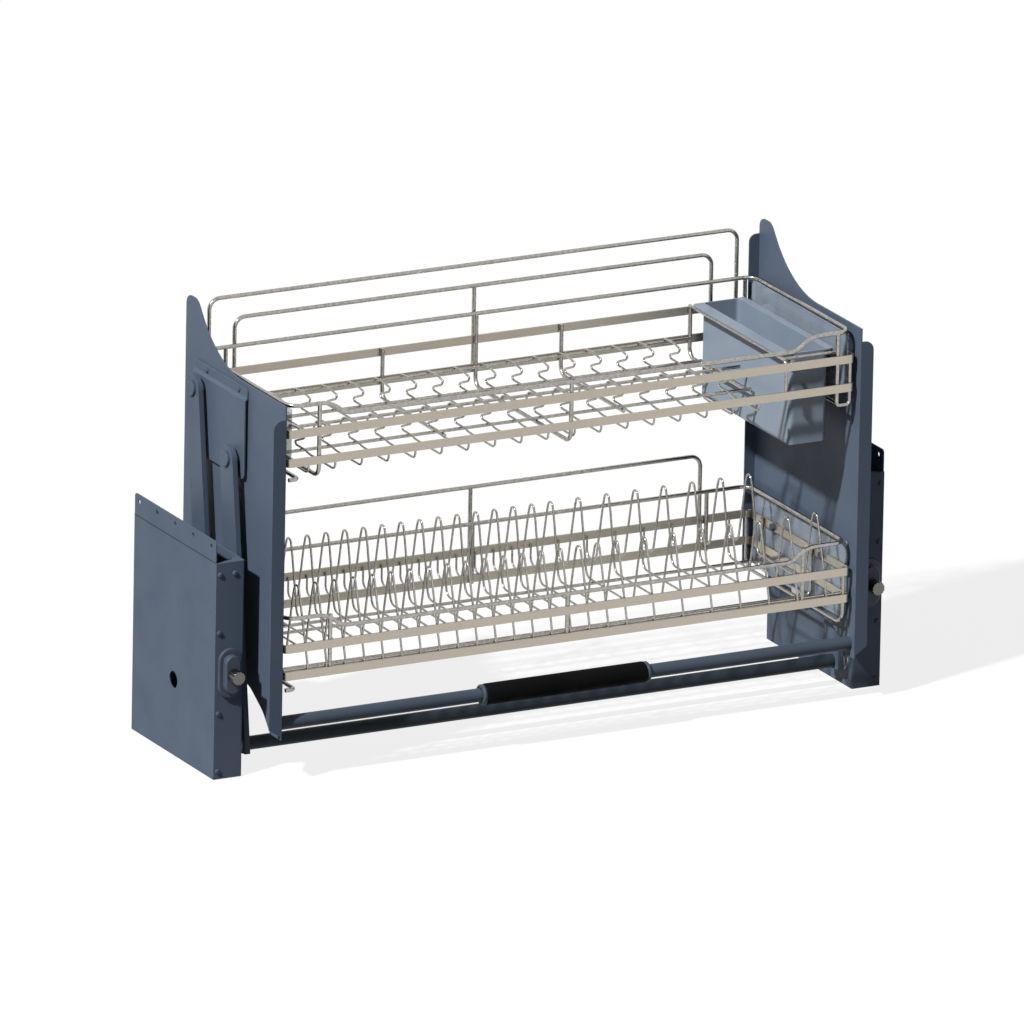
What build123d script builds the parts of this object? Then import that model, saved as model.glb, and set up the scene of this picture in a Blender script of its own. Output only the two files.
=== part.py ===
from build123d import *
import math
import os

os.makedirs("parts", exist_ok=True)

# Pull down dish rack: two wall housings carry two baskets on four swinging arms.
# X runs across, Y from the front to the back, Z up. The sizes are in millimetres.
# Places along Y are counted from the front of the housings, and the whole rack is
# moved at the end so that its origin is under the middle of its outer size.

overrun = 1.0
face_gap = 0.3
pin_gap = 0.08
fixed_gap = 0.05
loose_gap = 0.3

# Housings
overall_width = 864.0
case_width = 36.5
case_depth = 210.0
case_height = 259.0
flange_height = 26.0
case_sheet = 1.5
case_bend = 2.0
flange_corner = 4.0
lip_depth = 19.0
tab_width = 9.0
tab_inset = 3.0
top_tab_height = 14.0
mount_hole_radius = 2.75
mount_hole_pitch = 46.0
mount_hole_count = 5
mount_hole_drop = 8.4
access_hole_radius = 10.0
access_hole_y = 104.0
access_hole_z = 90.0

# Dome head screws of the front plates and of the arm brackets
dome_radius = 3.2
dome_height = 1.9
dome_round = 1.7
screw_radius = 1.5
screw_length = 7.0
cover_screw_edge = 5.1
cover_screw_pitch = 18.8
cover_screw_height_shares = (0.036, 0.303, 0.676, 0.9456)

# Spring adjuster
adjuster_screws = (1, 2)
boss_width = 29.5
boss_height = 59.0
boss_base_depth = 4.0
boss_top_width = 19.0
boss_top_height = 45.5
boss_top_depth = 8.0
boss_round = 1.5
knob_radius = 8.0
knob_length = 14.2
knob_flutes = 12
flute_radius = 0.9
knob_round = 0.8
knob_bore_depth = 9.0
rod_radius = 4.0
rod_collar_radius = 7.0
rod_collar_length = 3.0
carrier_y = 160.0
carrier_thickness = 6.0
carrier_side_gap = 1.5
carrier_low = 24.0
carrier_over_rod = 12.0
carrier_nut_radius = 8.0
carrier_nut_length = 12.0
carrier_travel = 20.0
ear_thickness = 3.0
ear_reach = 14.0
ear_height = 14.0
spring_pin_radius = 3.0
spring_eye_wall = 2.5
spring_eye_width = 3.6
spring_radius = 11.0
spring_wire = 3.0
spring_end_gap = 16.0

# Pivots and arms
arm_length = 332.75
arm_lean = 7.48
arm_width = 32.0
arm_thickness = 6.4
arm_gap = 7.5
arm_foot = 9.4
front_pivot_y = 23.2
front_pivot_z = 30.1
rear_pivot_forward = 88.0
rear_pivot_rise = 59.5
shaft_radius = 7.0
shaft_collar_radius = 10.0
spigot_radius = 6.4
spigot_length = 20.0
bush_radius = 10.0
bush_flange_radius = 13.0
bush_flange = 1.5
bush_length = 5.0
outer_bush_length = 6.5
crank_length = 24.0
crank_angle = 20.0
crank_thickness = 6.0
crank_hub_radius = 13.0
crank_end_radius = 8.0
crank_offset = 6.0
crank_pin_length = 9.0
rear_pin_radius = 6.0
rear_pin_head_radius = 9.0
rear_pin_head = 3.0
upper_pin_radius = 5.0
upper_cap_radius = 9.0
upper_cap = 2.7
upper_cap_round = 1.2
upper_rivet_radius = 8.0
upper_rivet = 3.0
spacer_radius = 8.0

# Tubes
sync_tube_radius = 8.0
sync_tube_bore = 6.5
handle_radius = 8.0
handle_bore = 6.5
handle_y = -36.0
handle_z = 70.0
grip_radius = 12.5
grip_length = 217.0
grip_round = 4.0

# Side panels
panel_gap = 9.6
panel_pivot_y = 66.52
panel_pivot_z = 360.02
panel_sheet = 1.5
panel_front = -50.0
panel_rear = 203.5
panel_top_front = 453.0
panel_top = 518.0
panel_slope_foot = 123.2
panel_slope_head = 176.0
panel_slope_round = 132.0
panel_peak_round = 16.0
panel_rear_round = 12.0
panel_rear_low = 98.0
panel_step_y = 33.0
panel_knee_y = -4.0
panel_knee_z = 76.0
panel_toe_y = -24.0
panel_toe_z = 54.0
panel_step_round = 50.0
panel_knee_round = 40.0
panel_toe_round = 8.0
front_flange_width = 15.0
front_flange_top = 437.0
front_flange_low = 68.0
front_flange_foot = 58.0
front_flange_round = 11.0
rear_flange_width = 13.5
rear_flange_top = 498.0
rear_flange_round = 9.0

# Arm brackets
bracket_sheet = 2.0
bracket_rise = 3.0
bracket_front = 43.0
bracket_rear = 176.0
bracket_low = 340.0
bracket_top = 448.0
bracket_joggle_low = 434.0
bracket_joggle_high = 437.0
bracket_round = 5.0
bracket_screw_z = 442.0
bracket_screw_front = 64.0
bracket_screw_rear = 145.0

# Flat strips round the baskets
strip_height = 10.0
strip_thickness = 2.0
stud_gap = 4.5
front_strip_face = -45.0
upper_strips_z = (382.3, 416.5)
lower_strips_z = (127.5, 160.0)
stud_ys = (22.0, 141.0)
stud_collar_radius = 5.0
stud_radius = 2.5
nut_radius = 4.6
nut_thickness = 3.5

# Wires
wire_sides = 6
bend_share = 0.45
frame_wire = 2.5
rod_wire = 2.0
thin_wire = 1.5
rim_corner = 16.0
rim_dip = 15.5
rim_dip_inset = 50.5
rim_dip_run = 21.0
rim_dip_round = 9.0
rim_weld_inset = 17.0
post_bend = 12.0
upper_rim_z = 448.5
lower_rim_z = 194.5
upper_frame_floor = 361.4
lower_frame_floor = 101.0
upper_front_post_shares = (-0.8954, 0.0)
upper_rear_post_shares = (-0.3347, 0.3071, 0.7718)
lower_post_shares = (-0.8454, 0.0, 0.8454)
corner_post_inset = 18.1
end_floor_wire_inset = 11.5
rear_post_forward = 40.0
end_bend = 8.0
rod_bend = 8.0

# Guard hoops behind the baskets
guard_bend = 24.0
upper_guard_insets = (24.0, 57.0)
upper_guard_tops = (506.0, 480.0)
lower_guard_inset = 66.0
lower_guard_top = 237.0

# Divider wires of the upper basket
divider_inset = 24.0
divider_pitch = 34.2
divider_rear_y = 193.0
divider_forward = 121.0
divider_low_rod_forward = 28.0
divider_low_rod_drop = 19.1
divider_high_rod_z = 385.0
divider_front_y = 34.0
nose_tip_share = 2.0
nose_under_share = 1.8
nose_under_drop_share = 0.35
notch_share = 0.66
notch_rise_share = 0.2
notch_foot_share = 0.8

# Hairpin wires of the lower basket
hairpin_inset = 27.2
hairpin_pitch = 24.2
hairpin_wide_start_share = 0.3134
hairpin_wide_pitch = 37.2
hairpin_right_inset = 20.0
hairpin_rear_y = 170.0
hairpin_row_gap = 162.0
hairpin_floor_z = 128.0
hairpin_rear_height = 87.0
hairpin_front_height = 83.0
hairpin_front_spread = 20.0
hairpin_rear_spread = 21.0
hairpin_top_radius = 7.0
hairpin_crown = 2.3
lower_high_rods_y = (-20.0, 60.0, 130.0)
lower_low_rods_y = (44.0, 165.0)

# Cutlery box and its holder
box_width = 49.0
box_right_inset = 22.5
box_front = -29.0
box_rear = 190.0
box_low = 317.0
box_wall = 2.0
box_lip = 13.5
box_right_lip = 7.5
box_corner = 6.0
box_rail_inset = 12.0
box_rail_right_inset = 7.0
holder_front = -33.0
holder_foot = 384.0

# Places that follow from the sizes above
flange_top = case_height + flange_height
adjuster_z = case_height * sum(cover_screw_height_shares[i] for i in adjuster_screws) / len(adjuster_screws)
case_face = overall_width / 2
case_inner = case_face - case_width
case_middle = case_face - case_width / 2
cover_back = case_inner + case_sheet
case_wall = case_face - case_sheet
arm_outer = case_inner - arm_gap
arm_inner = arm_outer - arm_thickness
panel_face = arm_inner - panel_gap
panel_inner = panel_face - panel_sheet
bracket_face = panel_face + bracket_rise + bracket_sheet
rear_pivot_y = front_pivot_y + rear_pivot_forward
rear_pivot_z = front_pivot_z + rear_pivot_rise
arm_run = arm_length * math.sin(math.radians(arm_lean))
arm_height = arm_length * math.cos(math.radians(arm_lean))
front_upper_y = front_pivot_y + arm_run
front_upper_z = front_pivot_z + arm_height
crank_pin_y = front_pivot_y + crank_length * math.cos(math.radians(crank_angle))
crank_pin_z = front_pivot_z + crank_length * math.sin(math.radians(crank_angle))
strip_reach = panel_inner - stud_gap
boss_front = -boss_base_depth - boss_top_depth
rod_reach = carrier_y + carrier_thickness + carrier_nut_length + carrier_travel
knob_back = boss_front - face_gap
knob_front = knob_back - knob_length
strip_back = front_strip_face + strip_thickness
basket_front = strip_back + frame_wire
rear_strip_back = panel_rear - panel_sheet
rear_strip_face = rear_strip_back - strip_thickness
basket_rear = rear_strip_face - frame_wire
side_strip_inner = strip_reach - strip_thickness
rim_reach = side_strip_inner - frame_wire
end_wire_reach = side_strip_inner - rod_wire
guard_y = rear_strip_back + frame_wire
upper_low_rod_z = upper_frame_floor + frame_wire + rod_wire
lower_low_rod_z = lower_frame_floor + frame_wire + rod_wire
lower_high_rod_z = hairpin_floor_z - thin_wire - rod_wire
rim_dip_outer = rim_reach - rim_dip_inset
rim_dip_inner = rim_dip_outer - rim_dip_run
end_floor_wire_x = rim_reach - end_floor_wire_inset
box_right = rim_reach - box_right_inset
box_left = box_right - box_width
rods_right_end = box_left - box_rail_inset
rail_z = upper_strips_z[1] + strip_height / 2 + rod_wire
box_top = rail_z + rod_wire + box_wall
middle_y = (panel_front + case_depth) / 2


def middle(pair):
    """The place halfway between two places."""
    return (pair[0] + pair[1]) / 2


def block(x, y, z):
    """A box between pairs of places."""
    size = (x[1] - x[0], y[1] - y[0], z[1] - z[0])
    return Pos(middle(x), middle(y), middle(z)) * Box(*size)


def rod_x(x, y, z, radius):
    """A round bar along X between two places."""
    return Pos(middle(x), y, z) * Rot(0, 90, 0) * Cylinder(radius, x[1] - x[0])


def rod_y(x, y, z, radius):
    """A round bar along Y between two places."""
    return Pos(x, middle(y), z) * Rot(90, 0, 0) * Cylinder(radius, y[1] - y[0])


def slab(sketch, x):
    """A sketch of Y and Z made as thick as a pair of places along X."""
    return extrude(Plane.YZ.offset(x[0]) * sketch, amount=x[1] - x[0])


def wall(sketch, y):
    """A sketch of X and Z made as thick as a pair of places along Y."""
    front = Plane(origin=(0, y[0], 0), x_dir=(1, 0, 0), z_dir=(0, -1, 0))
    return extrude(front * sketch, amount=y[0] - y[1])


def sheet(sketch, z):
    """A sketch of X and Y made as thick as a pair of heights."""
    return extrude(Plane.XY.offset(z[0]) * sketch, amount=z[1] - z[0])


def eased(points, bend, steps=2):
    """The points of a path in a plane with each corner turned into short steps of an arc."""
    path = [points[0]]
    for before, corner, after in zip(points, points[1:], points[2:]):
        back = math.dist(before, corner)
        ahead = math.dist(corner, after)
        reach = min(bend, back * bend_share, ahead * bend_share)
        first = [c + (b - c) * reach / back for b, c in zip(before, corner)]
        last = [c + (a - c) * reach / ahead for a, c in zip(after, corner)]
        for step in range(steps + 1):
            t = step / steps
            shares = ((1 - t) ** 2, 2 * t * (1 - t), t ** 2)
            path.append(tuple(shares[0] * f + shares[1] * c + shares[2] * l
                              for f, c, l in zip(first, corner, last)))
    path.append(points[-1])
    return path


def straight_wire(points, radius):
    """A wire of flat-sided section along straight runs between points in space."""
    path = Polyline(*points)
    start = Plane(origin=path @ 0, z_dir=path % 0)
    return sweep(start * RegularPolygon(radius, wire_sides), path=path, transition=Transition.RIGHT)


def upright_wire(x, points, bend, radius):
    """A wire in a plane across X, given by its places along Y and Z."""
    return straight_wire([(x, y, z) for y, z in eased(points, bend)], radius)


def crosswise_wire(y, points, bend, radius):
    """A wire in a plane across Y, given by its places along X and Z."""
    return straight_wire([(x, y, z) for x, z in eased(points, bend)], radius)


def level_wire(z, points, bend, radius):
    """A wire in a level plane, given by its places along X and Y."""
    return straight_wire([(x, y, z) for x, y in eased(points, bend)], radius)


def save(name, *pieces):
    """Writes the solids of one node, moved to the origin of the whole rack."""
    solids = [solid for piece in pieces for solid in piece.solids()]
    export_step(Pos(0, -middle_y, 0) * Compound(solids), f"parts/{name}.step")


def save_pair(name, *pieces):
    """Writes a node of the right side and its mirror image on the left."""
    save(f"right_{name}", *pieces)
    save(f"left_{name}", *[mirror(piece, about=Plane.YZ) for piece in pieces])


def on_arms(pieces):
    """Pieces of the rack, moved so that the holes of the side panels meet the upper ends of the arms."""
    return [Pos(0, front_upper_y - panel_pivot_y, front_upper_z - panel_pivot_z) * piece for piece in pieces]


def carry(name, *pieces):
    """Writes one node of the rack that hangs on the arms."""
    save(name, *on_arms(pieces))


def carry_pair(name, *pieces):
    """Writes a node of the rack's right side and its mirror image on the left."""
    save_pair(name, *on_arms(pieces))


def placed(shares):
    """Places across the basket, given as shares of the rim's reach."""
    return [share * rim_reach for share in shares]


def row(first, last, pitch):
    """Places from the first one on, a pitch apart, as far as the last."""
    return [first + pitch * i for i in range(math.floor((last - first) / pitch) + 1)]


def cover_screw_places():
    """X and Z of the five screws of the front plate, the last one beside the top one."""
    x = case_face - cover_screw_edge
    places = [(x, share * case_height) for share in cover_screw_height_shares]
    return places + [(x - cover_screw_pitch, places[-1][1])]


def mount_hole_places():
    """Y of the holes along the mounting flange."""
    first = (case_depth - mount_hole_pitch * (mount_hole_count - 1)) / 2
    return [first + mount_hole_pitch * i for i in range(mount_hole_count)]


def case():
    """Outer shell: side wall with the mounting flange, rear wall, floor and front tabs."""
    shell = block((cover_back, case_face), (case_sheet, case_depth), (0, case_height))
    shell = fillet(shell.edges().filter_by(Axis.Z).group_by(Axis.X)[-1].sort_by(Axis.Y)[-1:], case_bend)
    hollow_y = (case_sheet - overrun, case_depth - case_sheet)
    shell -= block((cover_back - overrun, case_wall), hollow_y, (case_sheet, case_height + overrun))
    flange = block((case_wall, case_face), (case_sheet, case_depth - case_bend), (case_height, flange_top))
    shell += fillet(flange.edges().filter_by(Axis.X).group_by(Axis.Z)[-1], flange_corner)
    tab_y = (case_sheet, case_sheet * 2)
    shell += block((case_wall - tab_width, case_wall), tab_y, (case_sheet, case_height - tab_inset))
    top_screw_z = cover_screw_places()[-1][1]
    top_tab_z = (top_screw_z - top_tab_height / 2, top_screw_z + top_tab_height / 2)
    shell += block((cover_back + tab_inset, case_wall), tab_y, top_tab_z)
    for x, z in cover_screw_places():
        shell -= rod_y(x, (0, case_depth / 2), z, screw_radius + fixed_gap)
    for y in mount_hole_places():
        shell -= rod_x((case_middle, case_face + overrun), y, flange_top - mount_hole_drop, mount_hole_radius)
    return shell - rod_x((case_middle, case_face + overrun), access_hole_y, access_hole_z, access_hole_radius)


def cover():
    """Inner wall with the front plate and its mitred lip bent from one sheet."""
    height = (0, case_height)
    plate = block((case_inner, cover_back), (0, case_depth), height)
    plate += block((case_inner, case_face), (0, case_sheet), height)
    lip = make_face(Polyline((case_face, 0), (case_inner, 0), (case_inner, lip_depth), close=True))
    plate += sheet(lip, (case_height - case_sheet, case_height))
    corner = plate.edges().filter_by(Axis.Z).sort_by(lambda edge: edge.center().X + edge.center().Y)[0]
    plate = fillet(corner, case_bend)
    for x, z in cover_screw_places():
        plate -= rod_y(x, (-overrun, case_sheet + overrun), z, screw_radius + fixed_gap)
    plate -= rod_y(case_middle, (-overrun, case_sheet + overrun), adjuster_z, rod_radius + loose_gap)
    through = (case_inner - overrun, cover_back + overrun)
    plate -= rod_x(through, front_pivot_y, front_pivot_z, bush_radius + fixed_gap)
    return plate - rod_x(through, rear_pivot_y, rear_pivot_z, rear_pin_radius + fixed_gap)


def dome_screw():
    """A dome head screw along -Z with its head above the origin."""
    head = Pos(0, 0, dome_height / 2) * Cylinder(dome_radius, dome_height)
    head = fillet(head.edges().group_by(Axis.Z)[-1], dome_round)
    return head + Pos(0, 0, -screw_length / 2) * Cylinder(screw_radius, screw_length)


def cover_screws():
    """The screws of the front plate, with their heads to the front."""
    screw = Rot(90, 0, 0) * dome_screw()
    return [Pos(x, 0, z) * screw for x, z in cover_screw_places()]


def oval_step(height, width, y):
    """One oval step of the adjuster boss, with its front edge rounded."""
    outline = Pos(case_middle, adjuster_z) * Rot(0, 0, 90) * SlotOverall(height, width)
    step = wall(outline, y)
    return fillet(step.edges().group_by(Axis.Y)[0], boss_round)


def adjuster_boss():
    """Two oval steps on the front plate that guide the adjuster rod."""
    boss = oval_step(boss_height, boss_width, (-boss_base_depth, 0))
    boss += oval_step(boss_top_height, boss_top_width, (boss_front, -boss_base_depth))
    return boss - rod_y(case_middle, (boss_front - overrun, overrun), adjuster_z, rod_radius + pin_gap)


def knob():
    """Fluted knob on the end of the adjuster rod."""
    body = rod_y(case_middle, (knob_front, knob_back), adjuster_z, knob_radius)
    body = fillet(body.edges().group_by(Axis.Y)[0], knob_round)
    for i in range(knob_flutes):
        turn = 2 * math.pi * i / knob_flutes
        x = case_middle + knob_radius * math.cos(turn)
        z = adjuster_z + knob_radius * math.sin(turn)
        body -= rod_y(x, (knob_front - overrun, knob_back + overrun), z, flute_radius)
    bore = (knob_back - knob_bore_depth, knob_back + overrun)
    return body - rod_y(case_middle, bore, adjuster_z, rod_radius + fixed_gap)


def adjuster_rod():
    """Threaded rod from the knob back through the spring carrier, with its thrust collar."""
    rod = rod_y(case_middle, (knob_back - knob_bore_depth, rod_reach), adjuster_z, rod_radius)
    collar_y = (case_sheet + face_gap, case_sheet + face_gap + rod_collar_length)
    return rod + rod_y(case_middle, collar_y, adjuster_z, rod_collar_radius)


def spring_carrier():
    """Plate that travels on the rod, with two ears that hold the rear eye of the spring."""
    side = (cover_back + carrier_side_gap, case_wall - carrier_side_gap)
    plate_y = (carrier_y, carrier_y + carrier_thickness)
    plate = block(side, plate_y, (carrier_low, adjuster_z + carrier_over_rod))
    nut_y = (plate_y[1], plate_y[1] + carrier_nut_length)
    plate += rod_y(case_middle, nut_y, adjuster_z, carrier_nut_radius)
    inner = spring_eye_width / 2 + face_gap
    for sign in (-1, 1):
        ear_x = sorted((case_middle + sign * inner, case_middle + sign * (inner + ear_thickness)))
        ear_z = (crank_pin_z - ear_height / 2, crank_pin_z + ear_height / 2)
        plate += block(ear_x, (carrier_y - ear_reach, carrier_y), ear_z)
    whole = (plate_y[0] - overrun, nut_y[1] + overrun)
    plate -= rod_y(case_middle, whole, adjuster_z, rod_radius + pin_gap)
    ears = (case_middle - inner - ear_thickness, case_middle + inner + ear_thickness)
    pin_y = carrier_y - ear_reach / 2
    plate -= rod_x((ears[0] - overrun, ears[1] + overrun), pin_y, crank_pin_z, spring_pin_radius + fixed_gap)
    return plate


def carrier_pin():
    """Pin through the ears of the carrier and the rear eye of the spring."""
    reach = spring_eye_width / 2 + face_gap + ear_thickness
    return rod_x((case_middle - reach, case_middle + reach), carrier_y - ear_reach / 2, crank_pin_z,
                 spring_pin_radius)


def balance_spring():
    """Extension spring between the crank pin and the carrier pin, with an eye at each end."""
    front_y = crank_pin_y
    rear_y = carrier_y - ear_reach / 2
    coil_y = (front_y + spring_end_gap, rear_y - spring_end_gap)
    spring = rod_y(case_middle, coil_y, crank_pin_z, spring_radius)
    eye_x = (case_middle - spring_eye_width / 2, case_middle + spring_eye_width / 2)
    bore = spring_pin_radius + face_gap
    for y, inward in ((front_y, 1), (rear_y, -1)):
        leg = sorted((y + inward * bore, y + inward * (spring_end_gap + spring_wire / 2)))
        spring += rod_y(case_middle, leg, crank_pin_z, spring_wire / 2)
        spring += rod_x(eye_x, y, crank_pin_z, bore + spring_eye_wall)
        spring -= rod_x((eye_x[0] - overrun, eye_x[1] + overrun), y, crank_pin_z, bore)
    return spring


def crank():
    """Tapered crank on the pivot shaft, with the pin for the front eye of the spring."""
    outline = Circle(crank_hub_radius) + Pos(crank_length, 0) * Circle(crank_end_radius)
    outline = make_hull(outline.edges())
    outline = Pos(front_pivot_y, front_pivot_z) * Rot(0, 0, crank_angle) * outline
    crank_x = (cover_back + crank_offset, cover_back + crank_offset + crank_thickness)
    body = slab(outline, crank_x)
    body -= rod_x((crank_x[0] - overrun, crank_x[1] + overrun), front_pivot_y, front_pivot_z,
                  shaft_radius + fixed_gap)
    return body + rod_x((crank_x[1], crank_x[1] + crank_pin_length), crank_pin_y, crank_pin_z,
                        spring_pin_radius)


def front_shaft():
    """Pivot shaft of the front arm, from the joining tube to the outer bush in the housing."""
    shaft = rod_x((arm_inner, case_wall - face_gap), front_pivot_y, front_pivot_z, shaft_radius)
    collar = (arm_outer, case_inner - bush_flange - face_gap)
    shaft += rod_x(collar, front_pivot_y, front_pivot_z, shaft_collar_radius)
    return shaft + rod_x((arm_inner - spigot_length, arm_inner), front_pivot_y, front_pivot_z, spigot_radius)


def bushes():
    """Flanged bush in the cover and plain bush on the outer wall, for the pivot shaft."""
    pivot = (front_pivot_y, front_pivot_z)
    flanged = rod_x((case_inner - bush_flange, case_inner), *pivot, bush_flange_radius)
    flanged += rod_x((case_inner, case_inner + bush_length), *pivot, bush_radius)
    plain = rod_x((case_wall - outer_bush_length, case_wall), *pivot, bush_radius)
    bore = rod_x((case_inner - bush_flange - overrun, case_face), *pivot, shaft_radius + pin_gap)
    return [flanged - bore, plain - bore]


def rear_pivot_pin():
    """Pin riveted in the cover that carries the rear arm."""
    pivot = (rear_pivot_y, rear_pivot_z)
    pin = rod_x((arm_inner - face_gap, cover_back), *pivot, rear_pin_radius)
    pin += rod_x((arm_inner - face_gap - rear_pin_head, arm_inner - face_gap), *pivot, rear_pin_head_radius)
    pin += rod_x((arm_outer + face_gap, case_inner), *pivot, shaft_collar_radius)
    return pin + rod_x((cover_back, cover_back + rear_pin_head), *pivot, rear_pin_head_radius)


def arm(lower_bore, upper_bore):
    """Flat bar with a square foot and a round head, upright with its lower pivot at the origin."""
    shank = (Pos(0, (arm_length - arm_foot) / 2) * Rectangle(arm_width, arm_length + arm_foot))
    outline = shank + Pos(0, arm_length) * Circle(arm_width / 2)
    outline -= Circle(lower_bore)
    outline -= Pos(0, arm_length) * Circle(upper_bore)
    return outline


def placed_arm(pivot, lower_bore, upper_bore):
    """An arm at its lower pivot, leaning back."""
    outline = Pos(*pivot) * Rot(0, 0, -arm_lean) * arm(lower_bore, upper_bore)
    return slab(outline, (arm_inner, arm_outer))


def front_arm():
    """The front arm, welded on its pivot shaft."""
    return placed_arm((front_pivot_y, front_pivot_z), shaft_radius + fixed_gap, upper_pin_radius + pin_gap)


def rear_arm():
    """The rear arm, which turns on the pin in the cover."""
    return placed_arm((rear_pivot_y, rear_pivot_z), rear_pin_radius + pin_gap, upper_pin_radius + loose_gap)


def upper_pivots():
    """Y and Z of the holes in the side panel for the upper ends of the arms."""
    return [(panel_pivot_y, panel_pivot_z),
            (panel_pivot_y + rear_pivot_forward, panel_pivot_z + rear_pivot_rise)]


def upper_pins():
    """Capped pins that carry the rack on the arms, riveted behind the side panel."""
    pins = []
    for pivot in upper_pivots():
        cap_x = (arm_outer + face_gap, arm_outer + face_gap + upper_cap)
        cap = rod_x(cap_x, *pivot, upper_cap_radius)
        cap = fillet(cap.edges().group_by(Axis.X)[-1], upper_cap_round)
        pin = cap + rod_x((panel_inner, cap_x[0]), *pivot, upper_pin_radius)
        pins.append(pin + rod_x((panel_inner - upper_rivet, panel_inner), *pivot, upper_rivet_radius))
    return pins


def pivot_spacers():
    """Washers outside the bracket and sleeves between the bracket and the side panel."""
    spacers = []
    for pivot in upper_pivots():
        for ends in ((bracket_face, arm_inner - face_gap), (panel_face, panel_face + bracket_rise)):
            ring = rod_x(ends, *pivot, spacer_radius)
            hole = rod_x((ends[0] - overrun, ends[1] + overrun), *pivot, upper_pin_radius + fixed_gap)
            spacers.append(ring - hole)
    return spacers


def bracket_screw_places():
    """Y and Z of the two screws of the arm bracket."""
    return [(bracket_screw_front, bracket_screw_z), (bracket_screw_rear, bracket_screw_z)]


def arm_bracket():
    """Joggled plate that stiffens the side panel round the upper pivots."""
    flat = panel_face + bracket_sheet
    raised = panel_face + bracket_rise
    profile = Polyline((panel_face, bracket_top), (flat, bracket_top), (flat, bracket_joggle_high),
                       (bracket_face, bracket_joggle_low), (bracket_face, bracket_low),
                       (raised, bracket_low), (raised, bracket_joggle_low - bracket_sheet / 2),
                       (panel_face, bracket_joggle_high - bracket_sheet / 2), close=True)
    plate = wall(make_face(profile), (bracket_front, bracket_rear))
    corners = plate.edges().filter_by(Axis.X)
    plate = fillet(corners.group_by(Axis.Z)[-1] + corners.group_by(Axis.Z)[0], bracket_round)
    for pivot in upper_pivots():
        plate -= rod_x((panel_face - overrun, bracket_face + overrun), *pivot, upper_pin_radius + fixed_gap)
    for place in bracket_screw_places():
        plate -= rod_x((panel_face - overrun, bracket_face + overrun), *place, screw_radius + fixed_gap)
    return plate


def bracket_screws():
    """The two dome head screws of the arm bracket."""
    screw = Rot(0, 90, 0) * dome_screw()
    return [Pos(panel_face + bracket_sheet, y, z) * screw for y, z in bracket_screw_places()]


def panel_outline():
    """Side view of the side panel."""
    corners = [(panel_front, panel_top_front), (panel_slope_foot, panel_top_front),
               (panel_slope_head, panel_top), (panel_rear, panel_top),
               (panel_rear, panel_rear_low), (panel_step_y, panel_rear_low),
               (panel_knee_y, panel_knee_z), (panel_toe_y, panel_toe_z), (panel_front, panel_toe_z)]
    rounds = {1: panel_slope_round, 2: panel_peak_round, 3: panel_rear_round,
              5: panel_step_round, 6: panel_knee_round, 7: panel_toe_round}
    face = make_face(Polyline(*corners, close=True))
    for number, radius in rounds.items():
        y, z = corners[number]
        corner = face.vertices().sort_by_distance((y, z, 0))[0]
        face = fillet(corner, radius)
    return face


def stud_places():
    """Y and Z of the studs that hold the baskets to a side panel."""
    return [(y, z) for z in (upper_strips_z[1], lower_strips_z[1]) for y in stud_ys]


def side_panel():
    """Side panel with its front flange turned out and its rear flange turned in."""
    panel = slab(panel_outline(), (panel_inner, panel_face))
    flange_end = panel_face + front_flange_width
    out = Polyline((panel_face, front_flange_top), (flange_end, front_flange_top),
                   (flange_end, front_flange_low), (panel_face, front_flange_foot), close=True)
    out = make_face(out)
    out = fillet(out.vertices().sort_by_distance((flange_end, front_flange_top, 0))[0], front_flange_round)
    panel += wall(out, (panel_front, panel_front + panel_sheet))
    flange_x = (panel_inner - rear_flange_width, panel_inner)
    back = block(flange_x, (panel_rear - panel_sheet, panel_rear), (panel_rear_low, rear_flange_top))
    round_edge = back.edges().filter_by(Axis.Y).group_by(Axis.Z)[-1].sort_by(Axis.X)[:1]
    panel += fillet(round_edge, rear_flange_round)
    for pivot in upper_pivots():
        panel -= rod_x((panel_inner - overrun, panel_face + overrun), *pivot, upper_pin_radius + fixed_gap)
    for place in bracket_screw_places():
        panel -= rod_x((panel_inner - overrun, panel_face + overrun), *place, screw_radius + fixed_gap)
    return panel


def basket_studs():
    """Shouldered studs on the inside of the side panel, through the side strips."""
    studs = []
    for place in stud_places():
        stud = rod_x((strip_reach, panel_inner), *place, stud_collar_radius)
        studs.append(stud + rod_x((side_strip_inner - nut_thickness, strip_reach), *place, stud_radius))
    return studs


def basket_nuts():
    """Nuts on the studs, inside the side strips."""
    nuts = []
    for y, z in stud_places():
        outline = RegularPolygon(nut_radius, wire_sides) - Circle(stud_radius + fixed_gap)
        nuts.append(slab(Pos(y, z) * outline, (side_strip_inner - nut_thickness, side_strip_inner)))
    return nuts


def sync_tube():
    """Tube that joins the two front arms so that they swing together."""
    tube = rod_x((-arm_inner, arm_inner), front_pivot_y, front_pivot_z, sync_tube_radius)
    return tube - rod_x((-case_face, case_face), front_pivot_y, front_pivot_z, sync_tube_bore)


def handle_tube():
    """Handle tube between the side panels."""
    tube = rod_x((-panel_inner, panel_inner), handle_y, handle_z, handle_radius)
    return tube - rod_x((-case_face, case_face), handle_y, handle_z, handle_bore)


def handle_grip():
    """Soft grip sleeve round the middle of the handle tube."""
    grip = rod_x((-grip_length / 2, grip_length / 2), handle_y, handle_z, grip_radius)
    grip = fillet(grip.edges(), grip_round)
    return grip - rod_x((-grip_length, grip_length), handle_y, handle_z, handle_radius + fixed_gap)


def long_strips(heights, y):
    """Two flat strips along X."""
    return [block((-strip_reach, strip_reach), y, (z - strip_height / 2, z + strip_height / 2))
            for z in heights]


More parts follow.
